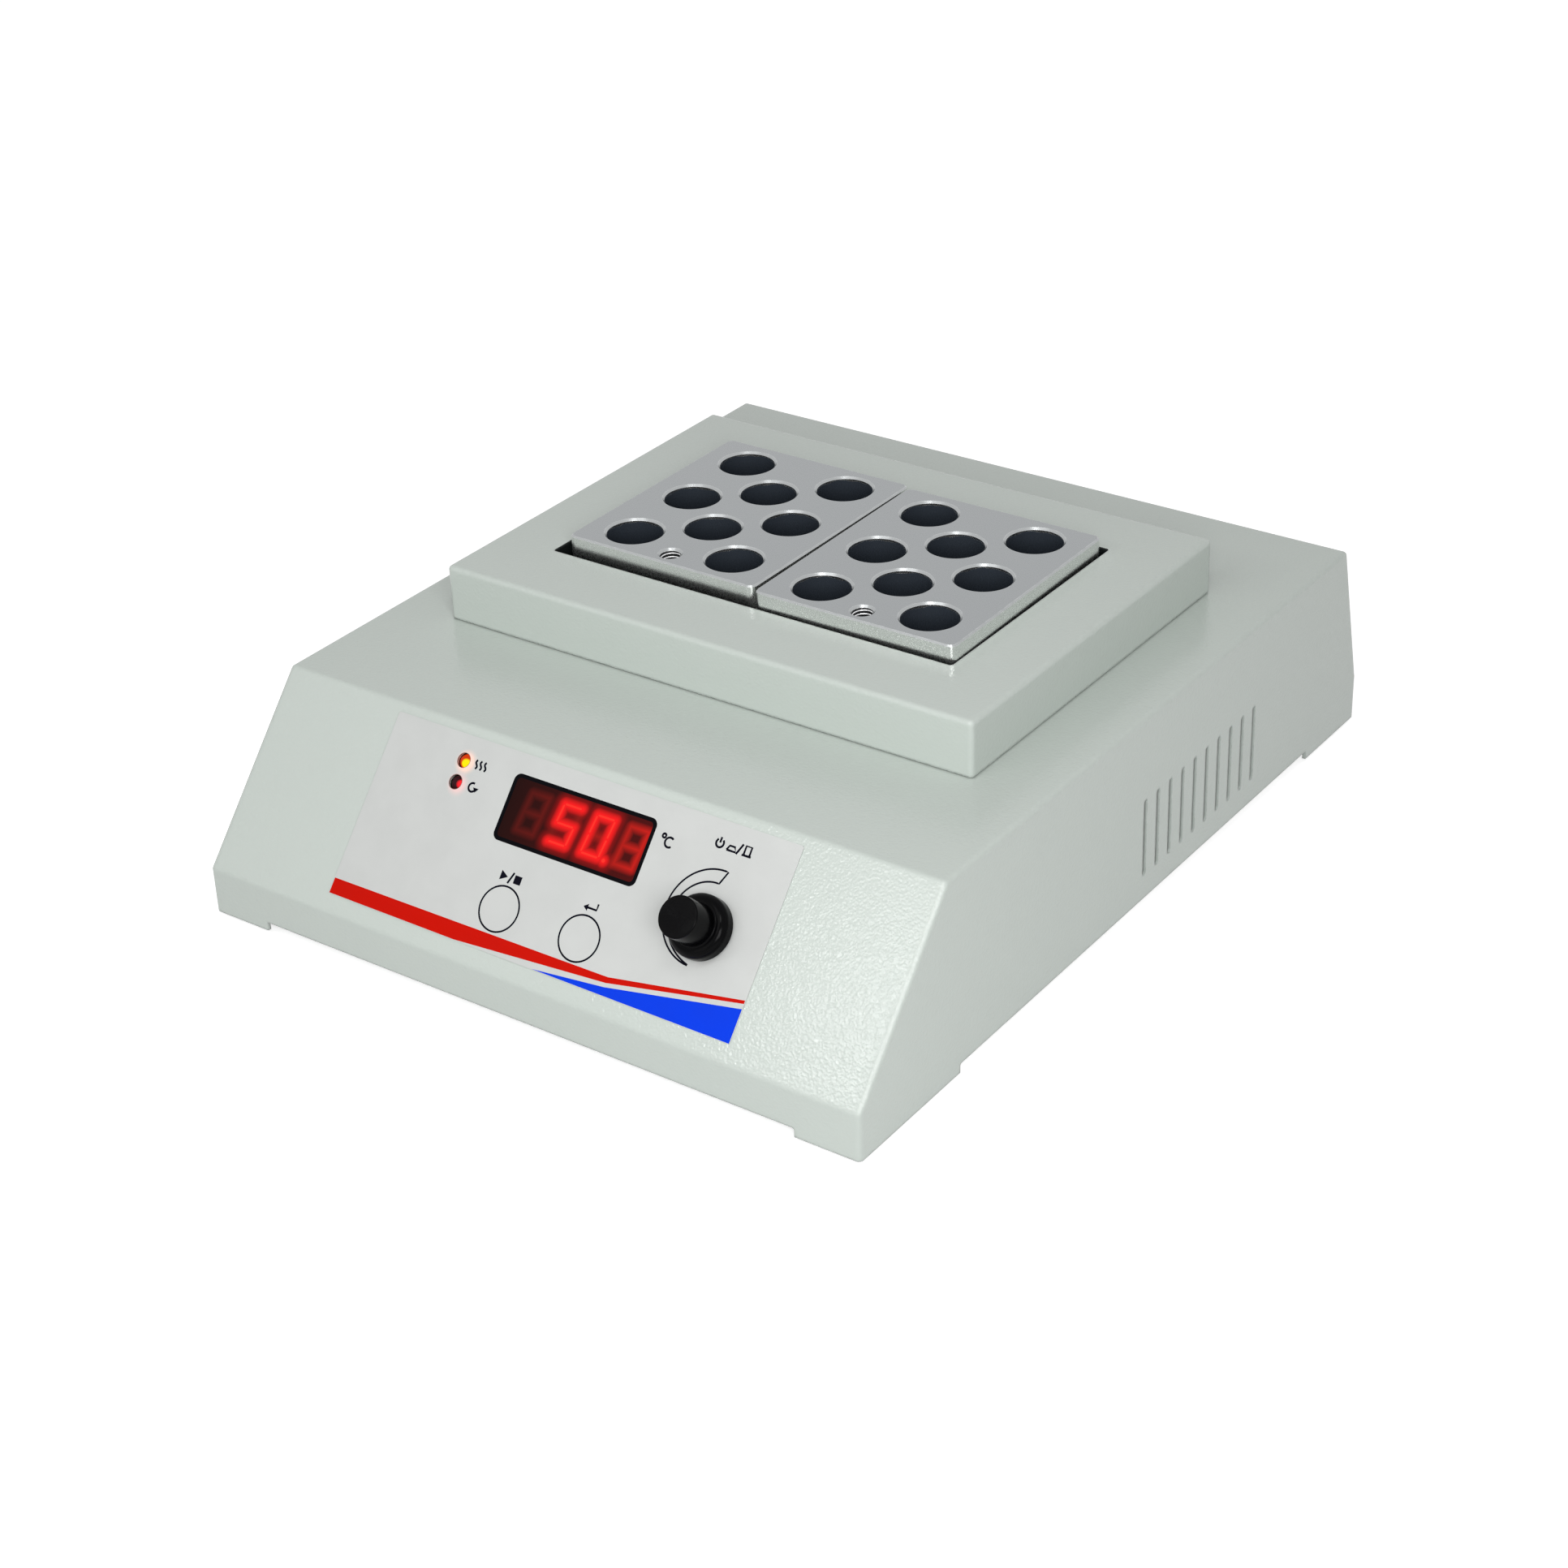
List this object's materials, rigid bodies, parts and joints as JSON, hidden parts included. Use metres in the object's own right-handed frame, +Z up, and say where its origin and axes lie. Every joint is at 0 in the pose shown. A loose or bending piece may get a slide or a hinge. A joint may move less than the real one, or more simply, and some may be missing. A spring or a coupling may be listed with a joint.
{
  "type": "dry bath incubator",
  "caption": "Bench-top dry bath heater: folded metal case, sloping control panel, raised surround and lift-out drilled aluminium tube blocks.",
  "frame": {"origin": "under the middle of the case, on the surface that the feet stand on", "axes": "+X to the right seen from the front, +Y from the control panel to the back, +Z up"},
  "size_m": [0.2466, 0.304, 0.0937],
  "materials": {
    "painted_case": "textured light grey powder coat",
    "painted_surround": "textured light grey powder coat",
    "painted_base": "grey powder coat",
    "zinc_screws": "bright zinc plate",
    "foot_rubber": "matt black moulded rubber",
    "panel_film": "printed matt polyester film",
    "red_filter": "dark red display filter",
    "display_black": "black moulded plastic",
    "amber_lamp": "amber lamp, lit",
    "red_lamp": "red lamp, unlit",
    "board_green": "green solder resist",
    "key_film": "matt polyester film",
    "plated_steel": "nickel plate",
    "moulding_white": "white moulded plastic",
    "knob_black": "gloss black phenolic",
    "liner_steel": "darkened sheet steel",
    "heater_aluminium": "milled aluminium",
    "heater_silicone": "red silicone heater mat",
    "insulation_white": "fibre insulation board",
    "block_aluminium": "satin anodised aluminium",
    "inlet_black": "black moulded plastic",
    "nickel_pins": "nickel-plated brass",
    "fuse_glass": "glass tube with metal caps",
    "transformer_yellow": "taped winding and varnished core",
    "terminal_green": "green moulded plastic",
    "brass_stud": "plain brass",
    "lead_brown": "brown insulated lead",
    "lead_green": "green and yellow insulated lead",
    "lead_white": "white heat-proof lead",
    "lead_grey": "grey sheathed cable"
  },
  "bodies": {
    "case": {"case_shell": "painted_case", "block_surround": "painted_surround", "surround_screws": "zinc_screws", "base_plate": "painted_base", "base_screws": "zinc_screws", "rubber_feet": "foot_rubber", "foot_screws": "zinc_screws", "overlay_film": "panel_film", "display_filter": "red_filter", "display_module": "display_black", "heat_lamp": "amber_lamp", "run_lamp": "red_lamp", "control_board": "board_green", "board_spacers": "zinc_screws", "board_screws": "zinc_screws", "key_switches": "display_black", "control_body": "plated_steel", "bushing_nut": "plated_steel", "well_liner": "liner_steel", "heater_plate": "heater_aluminium", "heater_mat": "heater_silicone", "clamp_plate": "liner_steel", "insulation_board": "insulation_white", "stack_studs": "zinc_screws", "plate_pillars": "zinc_screws", "thermal_cutout": "display_black", "temperature_probe": "plated_steel", "mains_inlet": "inlet_black", "inlet_pins": "nickel_pins", "inlet_tags": "nickel_pins", "inlet_screws": "zinc_screws", "power_board": "board_green", "power_pillars": "zinc_screws", "power_screws": "zinc_screws", "transformer": "transformer_yellow", "heat_sink": "heater_aluminium", "terminal_block": "terminal_green", "earth_stud": "brass_stud", "mains_leads": "lead_brown", "earth_lead": "lead_green", "heater_leads": "lead_white", "probe_cable": "lead_grey", "control_loom": "lead_grey"},
    "start_key": {"start_key": "key_film"},
    "set_key": {"set_key": "key_film"},
    "switch_plunger": {"switch_plunger": "moulding_white"},
    "knob": {"knob": "knob_black", "knob_shaft": "plated_steel"},
    "left_block": {"left_block": "block_aluminium"},
    "right_block": {"right_block": "block_aluminium"},
    "fuse_drawer": {"fuse_drawer": "inlet_black", "fuses": "fuse_glass"}
  },
  "joints": [
    {"name": "start_key_press", "type": "slide", "parent": "case", "child": "start_key", "axis": [0, 0.7527, -0.6584], "range_m": [0, 0.0003], "stiffness_N_per_m": 1500, "springref_m": -0.0003},
    {"name": "set_key_press", "type": "slide", "parent": "case", "child": "set_key", "axis": [0, 0.7527, -0.6584], "range_m": [0, 0.0003], "stiffness_N_per_m": 1500, "springref_m": -0.0003},
    {"name": "knob_push", "type": "slide", "parent": "case", "child": "switch_plunger", "axis": [0, -0.7527, 0.6584], "range_m": [0, 0.0025]},
    {"name": "knob_turn", "type": "hinge", "parent": "switch_plunger", "child": "knob", "pos_m": [0.0554, -0.12948, 0.04314], "axis": [0, -0.7527, 0.6584], "range_deg": [-150, 150]},
    {"name": "left_block_lift", "type": "slide", "parent": "case", "child": "left_block", "axis": [0, 0, 1], "range_m": [0, 0.06]},
    {"name": "right_block_lift", "type": "slide", "parent": "case", "child": "right_block", "axis": [0, 0, 1], "range_m": [0, 0.06]},
    {"name": "fuse_drawer_slide", "type": "slide", "parent": "case", "child": "fuse_drawer", "axis": [0, 0.9726, 0.2324], "range_m": [0, 0.018]}
  ]
}
